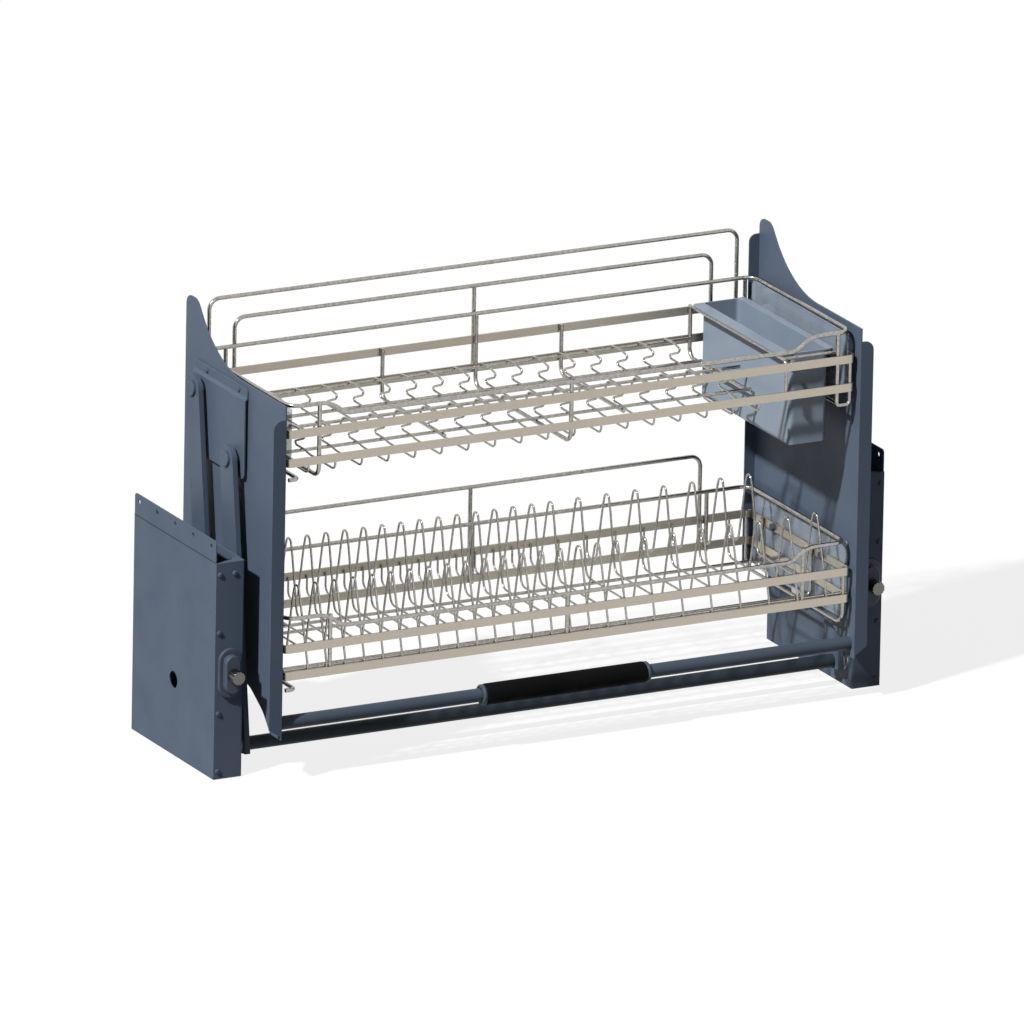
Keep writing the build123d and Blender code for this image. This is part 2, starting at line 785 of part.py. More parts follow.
def side_strips(heights):
    """Flat strips along Y at both ends, with the holes for the studs."""
    strips = []
    for z in heights:
        strip = block((side_strip_inner, strip_reach), (strip_back, rear_strip_face),
                      (z - strip_height / 2, z + strip_height / 2))
        for y in stud_ys:
            strip -= rod_x((side_strip_inner - overrun, strip_reach + overrun), y, z,
                           stud_radius + fixed_gap)
        strips += [strip, mirror(strip, about=Plane.YZ)]
    return strips


def rim(z):
    """Rim wire: a level loop whose front is a second wire with a dip in the middle."""
    weld_x = rim_reach - rim_weld_inset
    loop = [(-weld_x, basket_front), (-rim_reach, basket_front), (-rim_reach, basket_rear),
            (rim_reach, basket_rear), (rim_reach, basket_front), (weld_x, basket_front)]
    front = [(-weld_x, z), (-rim_dip_outer, z), (-rim_dip_inner, z - rim_dip),
             (rim_dip_inner, z - rim_dip), (rim_dip_outer, z), (weld_x, z)]
    return [level_wire(z, loop, rim_corner, frame_wire),
            crosswise_wire(basket_front, front, rim_dip_round, frame_wire)]


def basket_frame(rim_z, floor_z, posts):
    """Rim and the U shaped frames that hang from it, front to back under the floor."""
    wires = rim(rim_z)
    for x in posts:
        dip = rim_dip if abs(x) < rim_dip_inner else 0
        path = [(basket_front, rim_z - dip - frame_wire), (basket_front, floor_z),
                (basket_rear, floor_z), (basket_rear, rim_z - frame_wire)]
        wires.append(upright_wire(x, path, post_bend, frame_wire))
    return wires


def upper_rear_supports():
    """Wires from the rear strips down and forward under the floor rods."""
    top = upper_strips_z[1] + strip_height / 2
    path = [(basket_rear, top), (basket_rear, upper_frame_floor), (rear_post_forward, upper_frame_floor)]
    wires = [upright_wire(x, path, post_bend, frame_wire) for x in placed(upper_rear_post_shares)]
    wires.append(rod_y(-end_floor_wire_x, (basket_front, basket_rear), upper_frame_floor, frame_wire))
    post_x = rim_reach - corner_post_inset
    corner = [(post_x, upper_rim_z - frame_wire), (post_x, upper_frame_floor),
              (rim_reach, upper_frame_floor), (rim_reach, top)]
    wires.append(crosswise_wire(basket_front, corner, rod_bend, frame_wire))
    run = [(basket_front + frame_wire, upper_frame_floor), (basket_rear, upper_frame_floor),
           (basket_rear, upper_rim_z - frame_wire)]
    wires.append(upright_wire(end_floor_wire_x, run, post_bend, frame_wire))
    return wires


def end_turn(sign, floor_z, top_z):
    """X and Z of the end of a floor rod: out, and up to the side strips."""
    return [(sign * end_wire_reach, top_z), (sign * end_wire_reach, floor_z + end_bend),
            (sign * (end_wire_reach - end_bend), floor_z)]


def upper_floor_rods():
    """Rods along X that carry the dividers, and the short ones beyond the cutlery box."""
    top = upper_strips_z[1] + strip_height / 2
    z = upper_low_rod_z
    stub_start = end_floor_wire_x - rod_wire * 2
    rods = []
    for rear in (divider_rear_y, divider_rear_y - divider_forward):
        low_y = rear - divider_low_rod_forward
        rods.append(crosswise_wire(low_y, end_turn(-1, z, top) + [(rods_right_end, z)], rod_bend, rod_wire))
        stub = end_turn(1, z, top) + [(stub_start, z)]
        rods.append(crosswise_wire(low_y, stub, rod_bend, rod_wire))
        rods.append(rod_x((-side_strip_inner, rods_right_end), rear, divider_high_rod_z, rod_wire))
    return rods


def divider_path():
    """Y and Z along one divider: two noses with a notch below, and level floor between."""
    floor = divider_high_rod_z - divider_low_rod_drop + rod_wire + thin_wire
    over = divider_high_rod_z + rod_wire + thin_wire
    drop = over - floor
    path = [(divider_rear_y + rod_wire / 2, over)]
    for rear in (divider_rear_y, divider_rear_y - divider_forward):
        if rear < divider_rear_y:
            path += [(rear + drop / 2, floor), (rear + 2 * rod_wire, over)]
        path += [(rear - drop, over + rod_wire),
                 (rear - nose_tip_share * drop, over - thin_wire),
                 (rear - nose_under_share * drop, over - nose_under_drop_share * drop),
                 (rear - notch_share * drop, floor + notch_rise_share * drop),
                 (rear - notch_foot_share * drop, floor)]
    path += [(divider_front_y, floor), (divider_front_y - drop / 2, floor - rod_wire),
             (strip_back + thin_wire, floor - rod_wire), (strip_back + thin_wire, over - rod_wire)]
    return path


def upper_dividers():
    """Row of shaped wires that hold plates on edge."""
    one = upright_wire(0, divider_path(), rod_bend / 2, thin_wire)
    places = row(divider_inset - rim_reach, box_left - box_lip, divider_pitch)
    return [Pos(x, 0, 0) * one for x in places]


def hairpin(y, height):
    """Y and Z of one hairpin, from its front foot over the round top to its rear foot."""
    top = hairpin_floor_z + height
    side = top - hairpin_top_radius
    return [(y - hairpin_front_spread, hairpin_floor_z), (y - hairpin_top_radius, side),
            (y, top + hairpin_crown), (y + hairpin_top_radius, side),
            (y + hairpin_rear_spread, hairpin_floor_z)]


def lower_wires():
    """Floor wires with two hairpins each that hold plates on edge."""
    front_y = strip_back + thin_wire
    rear_y = rear_strip_face - thin_wire
    top = lower_strips_z[1]
    path = [(front_y, top), (front_y, hairpin_floor_z)]
    path += hairpin(hairpin_rear_y - hairpin_row_gap, hairpin_front_height)
    path += hairpin(hairpin_rear_y, hairpin_rear_height)
    path += [(rear_y, hairpin_floor_z), (rear_y, top)]
    one = upright_wire(0, path, hairpin_top_radius, thin_wire)
    wide_start = hairpin_wide_start_share * rim_reach
    places = row(hairpin_inset - rim_reach, wide_start - hairpin_pitch, hairpin_pitch)
    places += row(wide_start, rim_reach - hairpin_right_inset, hairpin_wide_pitch)
    return [Pos(x, 0, 0) * one for x in places]


def lower_floor_rods():
    """Rods along X under the floor wires, and lower ones that turn up at both ends."""
    reach = (-side_strip_inner, side_strip_inner)
    rods = [rod_x(reach, y, lower_high_rod_z, rod_wire) for y in lower_high_rods_y]
    z = lower_low_rod_z
    top = lower_strips_z[1] + strip_height / 2
    path = end_turn(-1, z, top) + end_turn(1, z, top)[::-1]
    return rods + [crosswise_wire(y, path, rod_bend, rod_wire) for y in lower_low_rods_y]


def guard(hoops, low):
    """Hoops behind the rear strips, with a post in the middle."""
    wires = []
    for inset, top in hoops:
        reach = strip_reach - inset
        path = [(-reach, low), (-reach, top), (reach, top), (reach, low)]
        wires.append(crosswise_wire(guard_y, path, guard_bend, frame_wire))
    post_top = top - frame_wire
    wires.append(Pos(0, guard_y, middle((low, post_top))) * Cylinder(frame_wire, post_top - low))
    return wires


def cutlery_box():
    """Open box with a lip that hangs on two rails."""
    outer = block((box_left, box_right), (box_front, box_rear), (box_low, box_top))
    outer = fillet(outer.edges().filter_by(Axis.Z), box_corner)
    lip_x = (box_left - box_lip, box_right + box_right_lip)
    lip = block(lip_x, (box_front, box_rear), (box_top - box_wall, box_top))
    body = outer + fillet(lip.edges().filter_by(Axis.Z), box_corner)
    inside = block((box_left + box_wall, box_right - box_wall), (box_front + box_wall, box_rear - box_wall),
                   (box_low + box_wall, box_top + overrun))
    return body - fillet(inside.edges().filter_by(Axis.Z), box_corner - box_wall)


def box_holder():
    """Wires round the top of the cutlery box that carry its lip."""
    left_x = box_left - box_rail_inset
    right_x = box_right + box_rail_right_inset
    front_y = strip_back + rod_wire
    left = [(front_y, holder_foot), (front_y, rail_z), (basket_rear, rail_z)]
    across = rod_x((left_x + rod_wire, right_x - rod_wire), holder_front, rail_z, rod_wire)
    right = rod_y(right_x, (basket_front + frame_wire, basket_rear - frame_wire), rail_z, rod_wire)
    return [upright_wire(left_x, left, rod_bend, rod_wire), across, right]


save_pair("case", case())
save_pair("cover", cover())
save_pair("cover_screws", *cover_screws())
save_pair("adjuster_boss", adjuster_boss())
save_pair("knob", knob())
save_pair("adjuster_rod", adjuster_rod())
save_pair("spring_carrier", spring_carrier(), carrier_pin())
save_pair("balance_spring", balance_spring())
save_pair("crank", crank())
save_pair("front_shaft", front_shaft())
save_pair("bushes", *bushes())
save_pair("rear_pivot_pin", rear_pivot_pin())
save_pair("front_arm", front_arm())
save_pair("rear_arm", rear_arm())
carry_pair("upper_pins", *upper_pins())
carry_pair("pivot_spacers", *pivot_spacers())
carry_pair("arm_bracket", arm_bracket())
carry_pair("bracket_screws", *bracket_screws())
carry_pair("side_panel", side_panel())
carry_pair("basket_studs", *basket_studs(), *basket_nuts())
save("sync_tube", sync_tube())
carry("handle_tube", handle_tube())
carry("handle_grip", handle_grip())
carry("upper_front_strips", *long_strips(upper_strips_z, (front_strip_face, strip_back)))
carry("upper_rear_strips", *long_strips(upper_strips_z, (rear_strip_face, rear_strip_back)))
carry("upper_side_strips", *side_strips(upper_strips_z))
carry("lower_front_strips", *long_strips(lower_strips_z, (front_strip_face, strip_back)))
carry("lower_rear_strips", *long_strips(lower_strips_z, (rear_strip_face, rear_strip_back)))
carry("lower_side_strips", *side_strips(lower_strips_z))
carry("upper_frame", *basket_frame(upper_rim_z, upper_frame_floor, placed(upper_front_post_shares)),
      *upper_rear_supports())
carry("lower_frame", *basket_frame(lower_rim_z, lower_frame_floor, placed(lower_post_shares)))
carry("upper_floor_rods", *upper_floor_rods())
carry("lower_floor_rods", *lower_floor_rods())
carry("upper_dividers", *upper_dividers())
carry("lower_plate_wires", *lower_wires())
carry("upper_guard", *guard(zip(upper_guard_insets, upper_guard_tops), upper_strips_z[0] - strip_height / 2))
carry("lower_guard", *guard([(lower_guard_inset, lower_guard_top)], lower_strips_z[0] - strip_height / 2))
carry("cutlery_box", cutlery_box())
carry("box_holder", *box_holder())
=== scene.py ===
import math

import bmesh
import bpy
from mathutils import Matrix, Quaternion, Vector


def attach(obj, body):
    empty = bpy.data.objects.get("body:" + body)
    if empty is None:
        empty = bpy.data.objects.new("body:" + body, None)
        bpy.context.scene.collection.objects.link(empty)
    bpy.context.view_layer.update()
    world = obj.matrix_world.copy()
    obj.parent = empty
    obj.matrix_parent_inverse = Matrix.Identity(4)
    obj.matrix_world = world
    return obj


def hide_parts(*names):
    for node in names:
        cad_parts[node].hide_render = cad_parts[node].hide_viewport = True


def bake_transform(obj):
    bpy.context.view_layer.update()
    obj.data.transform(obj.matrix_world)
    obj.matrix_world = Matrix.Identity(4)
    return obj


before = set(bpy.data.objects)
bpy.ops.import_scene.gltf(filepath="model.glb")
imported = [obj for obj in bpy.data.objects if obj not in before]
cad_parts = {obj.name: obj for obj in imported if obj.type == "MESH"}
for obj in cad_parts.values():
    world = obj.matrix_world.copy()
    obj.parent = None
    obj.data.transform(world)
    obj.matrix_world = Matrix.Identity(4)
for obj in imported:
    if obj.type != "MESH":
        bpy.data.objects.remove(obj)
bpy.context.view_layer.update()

# A pull down dish rack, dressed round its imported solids. Lengths here are millimetres,
# with Y counted from the front of the housings, as in the CAD source, unless a name says
# metres. The function at() turns such a place into the scene's metres.

millimetre = 0.001
middle_y = 80.0

# View
view_azimuth = -27.733
view_elevation = 17.446
view_roll = 1.099
view_distance_metres = 30.0
view_aim_metres = (-0.01336, -0.005, 0.24574)
view_lens = 917.43
sensor_width = 36.0

# Light
key_travel = (0.66, 0.22, -0.72)
key_strength = 4.4
key_spread = 2.5
sky_level = 0.12
white_level = 1.0
floor_size_metres = 60.0
floor_shade = 0.16
floor_glow = 0.83
floor_drop = 0.5

# Flat strips round the baskets
strip_reach = 366.0
band_height = 10.0
band_thickness = 2.0
band_front = -45.0
band_rear = 202.0
band_corner = 6.0
band_edge = 0.35
bevel_segments = 2
upper_band_z = (382.3, 416.5)
lower_band_z = (127.5, 160.0)
upper_band_nodes = ("upper_front_strips", "upper_rear_strips", "upper_side_strips")
lower_band_nodes = ("lower_front_strips", "lower_rear_strips", "lower_side_strips")
strip_back = band_front + band_thickness
rear_strip_face = band_rear - band_thickness
side_strip_inner = strip_reach - band_thickness
lower_strip_middle = lower_band_z[1]
upper_strip_top = upper_band_z[1] + band_height / 2
lower_strip_top = lower_strip_middle + band_height / 2

# Wires
frame_wire = 2.5
rod_wire = 2.0
thin_wire = 1.3
wire_sides_level = 4
arc_steps = 7
arc_share = 0.48
rim_reach = 361.5
end_wire_reach = 362.0
basket_front = -40.5
basket_rear = 197.5
rim_corner = 16.0
rim_dip = 15.5
rim_dip_inner = 290.0
rim_dip_outer = 311.0
rim_dip_rounds = (12.5, 6.0)
upper_rim_z = 448.5
lower_rim_z = 194.5
upper_frame_floor = 361.4
lower_post_foot = 122.5
lower_end_wire_z = 110.0
end_frame_x = 359.0
end_frame_low = 96.0
end_frame_bend = 16.0
upper_front_posts = (-323.7, 0.0)
upper_rear_posts = (-121.0, 111.0, 279.0)
lower_posts = (-305.6, 0.0, 305.6)
corner_post_x = 345.0
corner_bend = 4.5
end_floor_wire_x = 350.0
rear_post_forward = 40.0
post_bend = 12.0
rod_bend = 8.0
rods_right_end = 278.0
upper_rod_rows = (193.0, 72.0)
upper_low_rod_forward = 28.0
upper_low_rod_z = 365.9
upper_high_rod_z = 385.0
lower_high_rods_y = (-38.0, 42.0, 112.0)
lower_high_rod_z = 132.7
lower_low_rods_y = (44.0, 165.0)
lower_low_rod_z = 105.5

# Divider wires of the upper basket
divider_first = -337.5
divider_pitch = 34.2
divider_count = 18
divider_front_y = 34.0
divider_curl = 7.5
nose_tip_share = 2.0
nose_under_share = 1.8
nose_under_drop_share = 0.35
notch_share = 0.66
notch_rise_share = 0.2
notch_foot_share = 0.8

# Plate wires of the lower basket
plate_wire_rows = ((-334.3, 24.2, 18), (113.3, 37.2, 7))
hairpin_floor_z = 136.0
hairpin_rows_y = (-11.0, 152.0)
hairpin_top_z = 224.0
hairpin_shoulder_z = 211.0
hairpin_half_width = 8.5
hairpin_crown_share = 0.5
hairpin_front_spread = 24.0
hairpin_rear_spread = 24.0
hairpin_foot_z = 124.0
plate_wire_bend = 9.0

# Guards
guard_y = 204.5
guard_bend = 13.0
upper_guard_hoops = ((342.0, 506.0), (309.0, 480.0))
upper_guard_foot = 377.3
lower_guard_hoops = ((300.0, 237.0),)
lower_guard_foot = 122.5

# Holder of the cutlery box
rail_z = 423.5
rail_left_x = 278.0
rail_right_x = 346.0
holder_front_y = -33.0
holder_foot_z = 384.0

# Clear panes at the ends of the baskets
upper_pane_outer_x = 360.0
lower_pane_outer_x = 368.6
pane_thickness = 2.0
upper_pane_front_y = -39.0
lower_pane_front_y = -32.0
pane_rear_y = 196.0
pane_corner = 14.0
pane_top_corner = 1.0
pane_edge = 0.5
upper_pane_z = (378.0, 445.8)
lower_pane_z = (97.0, 191.0)

# Handle grip
handle_y = -36.0
handle_z = 70.0
grip_reach = 108.5
grip_radius = 12.5
grip_round = 3.0
grip_bore = 8.1
collar_width = 4.5
collar_gap = 0.2
collar_radius = 12.0
collar_chamfer = 1.2
lathe_sides = 48

# Seam at the foot of the mounting flanges
flange_seam_z = 259.0
seam_half_width = 0.7
seam_colour = (0.012, 0.014, 0.018)

# Looks. Noise scales count per metre. Edge radii and bump depths are millimetres.
noise_middle = (0.3, 0.7)
edge_dots = (0.86, 0.995)
edge_samples = 4
paint_ior = 1.45
paint_shine = 0.18
paint_edge = 0.9
paint_cloud = {"scale": 7.0, "detail": 4.0}
# Noise that spreads the painted edge highlight and the rubbed wear along the edges of the paint.
paint_sheen_and_wear = {"scale": 60.0, "detail": 5.0}
paint_sheen_and_wear_share = (0.1, 0.8)
paint_gloss = {"scale": 25.0, "detail": 5.0}
paint_rough = (0.42, 0.56)
paint_peel = {"scale": 1100.0, "detail": 2.0}
paint_peel_strength = 0.25
paint_peel_depth = 0.12
metal_gloss = {"scale": 40.0, "detail": 4.0}
metal_streak_depth = 0.02
plastic_ior = 1.49
plastic_cloud = {"scale": 9.0, "detail": 3.0}
plastic_gloss = {"scale": 50.0, "detail": 4.0}
plastic_edge = 0.6
plastic_grain_strength = 0.2
plastic_grain_depth = 0.1
# Upright streaks of the panes: in their polish, and as painted streaks of reflection and shade.
pane_polish_and_painted_streaks = {"scale": 60.0, "detail": 2.0, "stretch": (1.0, 1.0, 0.06)}
pane_colours = ((0.33, 0.39, 0.47), (0.38, 0.44, 0.52))
pane_rough = (0.10, 0.16)
pane_alpha = (0.42, 0.50)
pane_bump_strength = 0.05
pane_bump_depth = 0.03

# Balance springs
spring_x = 413.75
spring_z = 38.3
spring_pins_y = (45.75, 153.0)
spring_end_gap = 14.0
spring_wire = 3.0
spring_coil_radius = 9.5
spring_turns = 24
spring_steps = 20
spring_sides_level = 2
spring_eye_radius = 4.9
spring_eye_turns = [math.radians(degrees) for degrees in range(-150, 181, 15)][::-1]


def at(x, y, z):
    """A place in metres, from millimetres with Y counted from the front of the housings."""
    return Vector((x, y - middle_y, z)) * millimetre


# Shapes

def rounded(points, bends, closed=False):
    """Points of a path in space with each corner turned into an arc of short steps."""
    count = len(points)
    if not isinstance(bends, (list, tuple)):
        bends = [bends] * count
    path = []
    for i, corner in enumerate(points):
        if not closed and i in (0, count - 1):
            path.append(corner)
            continue
        back = points[i - 1] - corner
        ahead = points[(i + 1) % count] - corner
        reach = min(bends[i] * millimetre, back.length * arc_share, ahead.length * arc_share)
        turn = math.pi - back.angle(ahead)
        weight = math.cos(turn / 2)
        first = corner + back.normalized() * reach
        last = corner + ahead.normalized() * reach
        for step in range(arc_steps + 1):
            t = step / arc_steps
            shares = ((1 - t) ** 2, 2 * weight * t * (1 - t), t ** 2)
            point = first * shares[0] + corner * shares[1] + last * shares[2]
            path.append(point / sum(shares))
    return path


def upright(x, places, bends):
    """A wire's path in a plane across X, from its places along Y and Z."""
    return rounded([at(x, y, z) for y, z in places], bends)


def crosswise(y, places, bends):
    """A wire's path in a plane across Y, from its places along X and Z."""
    return rounded([at(x, y, z) for x, z in places], bends)


def add_to_scene(name, data):
    """A new object in the scene from a mesh, curve, light or camera."""
    piece = bpy.data.objects.new(name, data)
    bpy.context.scene.collection.objects.link(piece)
    return piece


def tube_curve(name, paths, radius, sides_level, loops=()):
    """A curve of round tubes along open paths and closed loops of places in metres."""
    curve = bpy.data.curves.new(name, "CURVE")
    curve.dimensions = "3D"
    curve.bevel_depth = radius * millimetre
    curve.bevel_resolution = sides_level
    curve.use_fill_caps = True
    for path, closed in [(path, False) for path in paths] + [(loop, True) for loop in loops]:
        spline = curve.splines.new("POLY")
        spline.points.add(len(path) - 1)
        spline.use_smooth = True
        spline.use_cyclic_u = closed
        for point, place in zip(spline.points, path):
            point.co = (*place, 1.0)
    return curve


def wires(name, paths, radius, nodes, loops=()):
    """One piece of round wires along paths, riding on the rack in place of CAD nodes."""
    curve = tube_curve(name, paths, radius, wire_sides_level, loops)
    curve.materials.append(materials["wire_steel"])
    piece = add_to_scene(name, curve)
    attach(piece, "rack")
    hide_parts(*nodes)


def rim(z):
    """The closed rim loop with the dip in the middle of its front."""
    corners = [(-rim_reach, basket_front, z), (-rim_reach, basket_rear, z),
               (rim_reach, basket_rear, z), (rim_reach, basket_front, z),
               (rim_dip_outer, basket_front, z), (rim_dip_inner, basket_front, z - rim_dip),
               (-rim_dip_inner, basket_front, z - rim_dip), (-rim_dip_outer, basket_front, z)]
    bends = [rim_corner] * 4 + [*rim_dip_rounds, *rim_dip_rounds[::-1]]
    return rounded([at(*corner) for corner in corners], bends, closed=True)


def post_top(x, rim_z):
    """Height of the front of the rim at a place across the basket."""
    return rim_z - (rim_dip if abs(x) < rim_dip_inner else 0)


def hooked_wire(z, top):
    """A wire along the left end, up at the rear and turned out to the side at the front."""
    places = [(-end_floor_wire_x, basket_rear, top), (-end_floor_wire_x, basket_rear, z),
              (-end_floor_wire_x, basket_front, z), (-end_wire_reach, basket_front, z)]
    return rounded([at(*place) for place in places], rod_bend)


def upper_frame():
    """Rim of the upper basket and all the thick wires below it."""
    floor = upper_frame_floor
    paths = []
    for x in upper_front_posts:
        places = [(basket_front, post_top(x, upper_rim_z)), (basket_front, floor),
                  (basket_rear, floor), (basket_rear, upper_rim_z)]
        paths.append(upright(x, places, post_bend))
    rear = [(basket_rear, upper_strip_top), (basket_rear, floor), (rear_post_forward, floor)]
    paths += [upright(x, rear, post_bend) for x in upper_rear_posts]
    paths.append(hooked_wire(floor, upper_strip_top))
    corner = [(corner_post_x, upper_rim_z), (corner_post_x, floor),
              (rim_reach, floor), (rim_reach, upper_strip_top)]
    paths.append(crosswise(basket_front, corner, corner_bend))
    run = [(basket_front, floor), (basket_rear, floor), (basket_rear, upper_rim_z)]
    paths.append(upright(end_floor_wire_x, run, post_bend))
    wires("upper_frame_wires", paths, frame_wire, ["upper_frame"], [rim(upper_rim_z)])


def lower_frame():
    """Rim of the lower basket, its posts and the wire along its left end."""
    paths = [hooked_wire(lower_end_wire_z, lower_strip_top)]
    for x in lower_posts:
        for y, top in ((basket_front, post_top(x, lower_rim_z)), (basket_rear, lower_rim_z)):
            paths.append([at(x, y, z) for z in (top, lower_post_foot)])
    wires("lower_frame_wires", paths, frame_wire, ["lower_frame"], [rim(lower_rim_z)])


def end_turn(sign, floor_z, top_z):
    """X and Z of the end of a floor rod, out and up to the side strips."""
    return [(sign * end_wire_reach, top_z), (sign * end_wire_reach, floor_z)]


def upper_rods():
    """Rods that carry the dividers, and the short ones beyond the cutlery box."""
    paths = []
    stub_start = end_floor_wire_x - rod_wire * 2
    for rear in upper_rod_rows:
        low_y = rear - upper_low_rod_forward
        left = end_turn(-1, upper_low_rod_z, upper_strip_top)
        right = end_turn(1, upper_low_rod_z, upper_strip_top)
        paths.append(crosswise(low_y, left + [(rods_right_end, upper_low_rod_z)], rod_bend))
        paths.append(crosswise(low_y, right + [(stub_start, upper_low_rod_z)], rod_bend))
        ends = (-side_strip_inner, rods_right_end)
        paths.append([at(x, rear, upper_high_rod_z) for x in ends])
    wires("upper_rod_wires", paths, rod_wire, ["upper_floor_rods"])


def lower_rods():
    """Rods under the plate wires, and lower ones that turn up at both ends."""
    ends = (-side_strip_inner, side_strip_inner)
    paths = [[at(x, y, lower_high_rod_z) for x in ends] for y in lower_high_rods_y]
    places = end_turn(-1, lower_low_rod_z, lower_strip_top)
    places += end_turn(1, lower_low_rod_z, lower_strip_top)[::-1]
    paths += [crosswise(y, places, rod_bend) for y in lower_low_rods_y]
    front = strip_back + rod_wire
    rear = rear_strip_face - rod_wire
    end = [(front, lower_strip_top), (front, end_frame_low), (rear, end_frame_low),
           (rear, lower_strip_top)]
    paths.append(upright(end_frame_x, end, end_frame_bend))
    wires("lower_rod_wires", paths, rod_wire, ["lower_floor_rods"])


def divider_places():
    """Y and Z along one divider, two curled noses with a notch below each."""
    floor = upper_low_rod_z + rod_wire + thin_wire
    over = upper_high_rod_z + rod_wire + thin_wire
    drop = over - floor
    first = upper_rod_rows[0]
    places = [(first + rod_wire / 2, over)]
    for rear in upper_rod_rows:
        if rear < first:
            places += [(rear + drop / 2, floor), (rear + 2 * rod_wire, over)]
        places += [(rear - drop, over + rod_wire),
                   (rear - nose_tip_share * drop, over - thin_wire),
                   (rear - nose_under_share * drop, over - nose_under_drop_share * drop),
                   (rear - notch_share * drop, floor + notch_rise_share * drop),
                   (rear - notch_foot_share * drop, floor)]
    low = floor - rod_wire
    front = strip_back + thin_wire
    return places + [(divider_front_y, floor), (divider_front_y - drop / 2, low),
                     (front, low), (front, over - rod_wire)]


def dividers():
    """The row of curled wires that hold plates on edge in the upper basket."""
    places = divider_places()
    xs = [divider_first + divider_pitch * i for i in range(divider_count)]
    paths = [upright(x, places, divider_curl) for x in xs]
    wires("divider_wires", paths, thin_wire, ["upper_dividers"])


def plate_wire_places():
    """Y and Z along one plate wire, from the front strip over two hairpins to the rear."""
    front = strip_back + thin_wire
    rear = rear_strip_face - thin_wire
    places = [(front, hairpin_foot_z), (front, hairpin_floor_z)]
    for y in hairpin_rows_y:
        if y != hairpin_rows_y[0]:
            places.append((y - hairpin_front_spread, hairpin_floor_z))
        crown = hairpin_half_width * hairpin_crown_share
        places += [(y - hairpin_half_width, hairpin_shoulder_z), (y - crown, hairpin_top_z),
                   (y + crown, hairpin_top_z), (y + hairpin_half_width, hairpin_shoulder_z),
                   (y + hairpin_rear_spread, hairpin_floor_z)]
    return places + [(rear, hairpin_floor_z), (rear, lower_strip_middle)]


def plate_wires():
    """The row of hairpin wires that make the floor of the lower basket."""
    places = plate_wire_places()
    paths = []
    for first, pitch, count in plate_wire_rows:
        paths += [upright(first + pitch * i, places, plate_wire_bend) for i in range(count)]
    wires("plate_wires", paths, thin_wire, ["lower_plate_wires"])


def guard(name, hoops, foot, node):
    """Hoops behind a basket with a post in the middle."""
    paths = []
    for reach, top in hoops:
        places = [(-reach, foot), (-reach, top), (reach, top), (reach, foot)]
        paths.append(crosswise(guard_y, places, guard_bend))
    paths.append([at(0, guard_y, z) for z in (foot, hoops[-1][1])])
    wires(name, paths, frame_wire, [node])


def box_holder():
    """Wires that carry the lip of the cutlery box."""
    front_y = strip_back + rod_wire
    left = [(front_y, holder_foot_z), (front_y, rail_z), (basket_rear, rail_z)]
    paths = [upright(rail_left_x, left, rod_bend)]
    across = (rail_left_x, rail_right_x)
    paths.append([at(x, holder_front_y, rail_z) for x in across])
    paths.append([at(rail_right_x, y, rail_z) for y in (basket_front, basket_rear)])
    wires("holder_wires", paths, rod_wire, ["box_holder"])


def smooth(mesh):
    """Smooth shading on every face."""
    for polygon in mesh.polygons:
        polygon.use_smooth = True


def mesh_piece(name, bm, slot):
    """A mesh object from a bmesh with the material of a slot, riding on the rack."""
    mesh = bpy.data.meshes.new(name)
    bmesh.ops.recalc_face_normals(bm, faces=bm.faces)
    bm.to_mesh(mesh)
    bm.free()
    mesh.materials.append(materials[slot])
    piece = add_to_scene(name, mesh)
    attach(piece, "rack")
    return piece


def wall(bm, first, second):
    """Faces all round between two closed rows of vertices."""
    for i in range(len(first)):
        bm.faces.new((first[i - 1], first[i], second[i], second[i - 1]))


def soften(piece, width):
    """Rounded edges by a bevel, with smooth shading."""
    bevel = piece.modifiers.new("edges", "BEVEL")
    bevel.width = width * millimetre
    bevel.segments = bevel_segments
    bevel.limit_method = "ANGLE"
    bevel.harden_normals = True
    smooth(piece.data)


def end_pane(name, outer_x, front, heights):
    """A clear pane with rounded lower corners at the end of a basket."""
    low, high = heights
    corners = [(pane_rear_y, high), (pane_rear_y, low), (front, low), (front, high)]
    bends = [pane_top_corner, pane_corner, pane_corner, pane_top_corner]
    outline = rounded([at(0, y, z) for y, z in corners], bends, closed=True)
    outer = outer_x * millimetre
    inner = outer - math.copysign(pane_thickness, outer_x) * millimetre
    bm = bmesh.new()
    sides = [[bm.verts.new((x, p.y, p.z)) for p in outline] for x in (outer, inner)]
    bm.faces.new(sides[0])
    bm.faces.new(sides[1][::-1])
    wall(bm, *sides)
    soften(mesh_piece(name, bm, "clear_pane"), pane_edge)


def bands(name, heights, nodes):
    """Flat strips bent round the corners of a basket, one at each height."""
    bm = bmesh.new()
    for z in heights:
        loops = []
        for inset in (0.0, band_thickness):
            x = strip_reach - inset
            front, rear = band_front + inset, band_rear - inset
            corners = [at(x, front, z), at(x, rear, z), at(-x, rear, z), at(-x, front, z)]
            outline = rounded(corners, band_corner - inset, closed=True)
            for step in (-band_height / 2, band_height / 2):
                lift = Vector((0, 0, step * millimetre))
                loops.append([bm.verts.new(point + lift) for point in outline])
        outer_low, outer_high, inner_low, inner_high = loops
        for first, second in ((outer_low, outer_high), (outer_high, inner_high),
                              (inner_high, inner_low), (inner_low, outer_low)):
            wall(bm, first, second)
    piece = mesh_piece(name, bm, "strip_steel")
    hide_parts(*nodes)
    soften(piece, band_edge)


def lathe(name, profile, slot, centre):
    """A round piece along X from a closed profile of places along X and radii."""
    bm = bmesh.new()
    rings = []
    for x, radius in profile:
        ring = []
        for i in range(lathe_sides):
            turn = 2 * math.pi * i / lathe_sides
            offset = Vector((x, radius * math.cos(turn), radius * math.sin(turn)))
            ring.append(bm.verts.new(centre + offset * millimetre))
        rings.append(ring)
    for first, second in zip(rings, [*rings[1:], rings[0]]):
        wall(bm, first, second)
    piece = mesh_piece(name, bm, slot)
    smooth(piece.data)
    return piece


